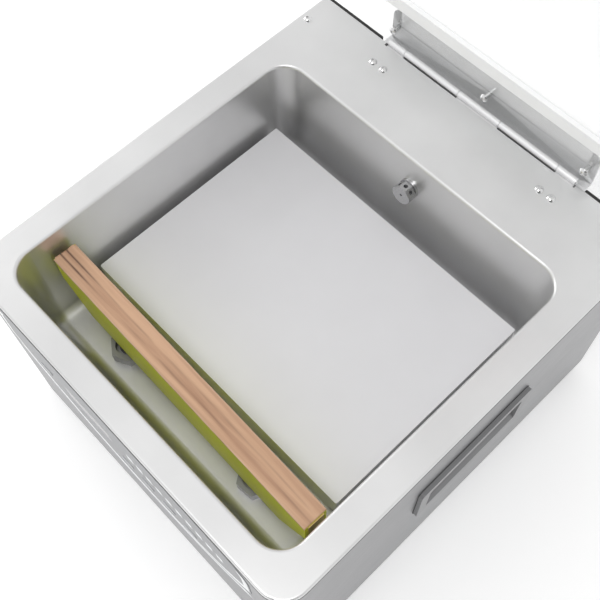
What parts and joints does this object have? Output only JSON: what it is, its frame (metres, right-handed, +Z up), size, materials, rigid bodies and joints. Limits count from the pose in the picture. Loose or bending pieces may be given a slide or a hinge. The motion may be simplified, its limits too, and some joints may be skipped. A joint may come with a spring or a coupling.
{
  "type": "vacuum packing machine",
  "caption": "Tabletop chamber vacuum packing machine with a hinged clear domed lid, drawn steel chamber, seal bar, filler plates and a front control panel.",
  "frame": {"origin": "centre of the bounding box of the machine with its lid open, at the height of the underside of the feet", "axes": "+X to the machine's right as seen from the front, +Y from the control panel towards the hinge, +Z up"},
  "size_m": [0.494, 0.5981, 0.848],
  "materials": {
    "casing_sheet": "brushed stainless sheet",
    "deck_steel": "satin stainless, deep drawn",
    "bright_steel": "bright stainless fasteners",
    "gland_steel": "dull steel nuts",
    "hinge_steel": "bent stainless strip",
    "zinc_sheet": "zinc plated sheet",
    "foot_rubber": "black rubber",
    "handle_plastic": "moulded handle cup",
    "overlay_film": "printed film",
    "overlay_print": "white print",
    "display_dark": "dark display window",
    "lamp_print": "lamp windows",
    "key_grey": "keys",
    "board_green": "circuit board",
    "nozzle_aluminium": "turned aluminium",
    "plate_white": "polyethylene plates",
    "bar_laminate": "glass laminate",
    "strip_metal": "resistance strip",
    "tape_tan": "non-stick cloth tape",
    "brass_clamp": "brass",
    "cylinder_plastic": "moulded plastic",
    "tube_blue": "polyurethane tube",
    "lid_acrylic": "clear formed acrylic",
    "seal_silicone": "pale silicone",
    "counter_silicone": "red silicone",
    "bar_aluminium": "extruded aluminium",
    "pump_casting": "painted casting",
    "motor_casting": "painted casting",
    "fan_plastic": "black plastic",
    "oil_glass": "sight glass",
    "hose_rubber": "reinforced rubber hose",
    "core_steel": "varnished laminations",
    "rocker_plastic": "red rocker"
  },
  "bodies": {
    "machine": {"base_tray": "zinc_sheet", "casing": "casing_sheet", "rear_panel": "casing_sheet", "deck": "deck_steel", "deck_screws": "bright_steel", "corner_brackets": "zinc_sheet", "feet": "foot_rubber", "side_handles": "handle_plastic", "control_overlay": "overlay_film", "overlay_trim": "overlay_print", "display_window": "display_dark", "lamp_windows": "lamp_print", "control_board": "board_green", "chamber_nozzle": "nozzle_aluminium", "nozzle_nut": "bright_steel", "gland_nuts": "gland_steel", "lift_cylinders": "cylinder_plastic", "cylinder_caps": "cylinder_plastic", "lift_tubes": "tube_blue", "hinge_leaf": "hinge_steel", "hinge_pin": "bright_steel", "leaf_nuts": "bright_steel", "pump_block": "pump_casting", "pump_cover": "pump_casting", "pump_motor": "motor_casting", "fan_cowl": "zinc_sheet", "pump_mounts": "foot_rubber", "sight_glass": "oil_glass", "exhaust_port": "fan_plastic", "pump_elbow": "brass_clamp", "suction_hose": "hose_rubber", "hose_clamps": "bright_steel", "valve_block": "bar_aluminium", "solenoids": "fan_plastic", "transformer": "core_steel", "mains_inlet": "fan_plastic", "switch_frame": "fan_plastic"},
    "lid_frame": {"hinge_strap": "hinge_steel", "lid": "lid_acrylic", "lid_seal": "seal_silicone", "lid_screws": "bright_steel", "lid_nuts": "bright_steel", "counter_bar": "bar_aluminium", "counter_rubber": "counter_silicone", "counter_posts": "bar_aluminium"},
    "bar": {"seal_bar_body": "bar_laminate", "heating_strips": "strip_metal", "seal_tape": "tape_tan", "bar_end_clamps": "brass_clamp", "lift_rods": "bright_steel"},
    "plate_low": {"filler_plate_bottom": "plate_white"},
    "plate_mid": {"filler_plate_middle": "plate_white"},
    "plate_high": {"filler_plate_top": "plate_white"},
    "fan": {"motor_fan": "fan_plastic"},
    "rocker": {"power_rocker": "rocker_plastic"},
    "button_program": {"key_program": "key_grey"},
    "button_minus": {"key_minus": "key_grey"},
    "button_plus": {"key_plus": "key_grey"},
    "button_stop": {"key_stop": "key_grey"},
    "button_power": {"key_power": "key_grey"}
  },
  "joints": [
    {"name": "lid_hinge", "type": "hinge", "parent": "machine", "child": "lid_frame", "pos_m": [0, 0.2329, 0.321], "axis": [-1, 0, 0], "range_deg": [-90, 0]},
    {"name": "bar_lift", "type": "slide", "parent": "machine", "child": "bar", "axis": [0, 0, 1], "range_m": [0, 0.012]},
    {"name": "plate_low_lift", "type": "slide", "parent": "machine", "child": "plate_low", "axis": [0, 0, 1], "range_m": [0, 0.16]},
    {"name": "plate_mid_lift", "type": "slide", "parent": "plate_low", "child": "plate_mid", "axis": [0, 0, 1], "range_m": [0, 0.16]},
    {"name": "plate_high_lift", "type": "slide", "parent": "plate_mid", "child": "plate_high", "axis": [0, 0, 1], "range_m": [0, 0.16]},
    {"name": "fan_spin", "type": "hinge", "parent": "machine", "child": "fan", "pos_m": [0.05, 0.0269, 0.092], "axis": [1, 0, 0], "continuous": true},
    {"name": "rocker_tip", "type": "hinge", "parent": "machine", "child": "rocker", "pos_m": [0.168, 0.2264, 0.122], "axis": [0, 0, 1], "range_deg": [0, 14]},
    {"name": "press_program", "type": "slide", "parent": "machine", "child": "button_program", "axis": [0, -1, 0], "range_m": [-0.0006, 0], "stiffness_N_per_m": 400, "springref_m": 0.0006},
    {"name": "press_minus", "type": "slide", "parent": "machine", "child": "button_minus", "axis": [0, -1, 0], "range_m": [-0.0006, 0], "stiffness_N_per_m": 400, "springref_m": 0.0006},
    {"name": "press_plus", "type": "slide", "parent": "machine", "child": "button_plus", "axis": [0, -1, 0], "range_m": [-0.0006, 0], "stiffness_N_per_m": 400, "springref_m": 0.0006},
    {"name": "press_stop", "type": "slide", "parent": "machine", "child": "button_stop", "axis": [0, -1, 0], "range_m": [-0.0006, 0], "stiffness_N_per_m": 400, "springref_m": 0.0006},
    {"name": "press_power", "type": "slide", "parent": "machine", "child": "button_power", "axis": [0, -1, 0], "range_m": [-0.0006, 0], "stiffness_N_per_m": 400, "springref_m": 0.0006}
  ]
}
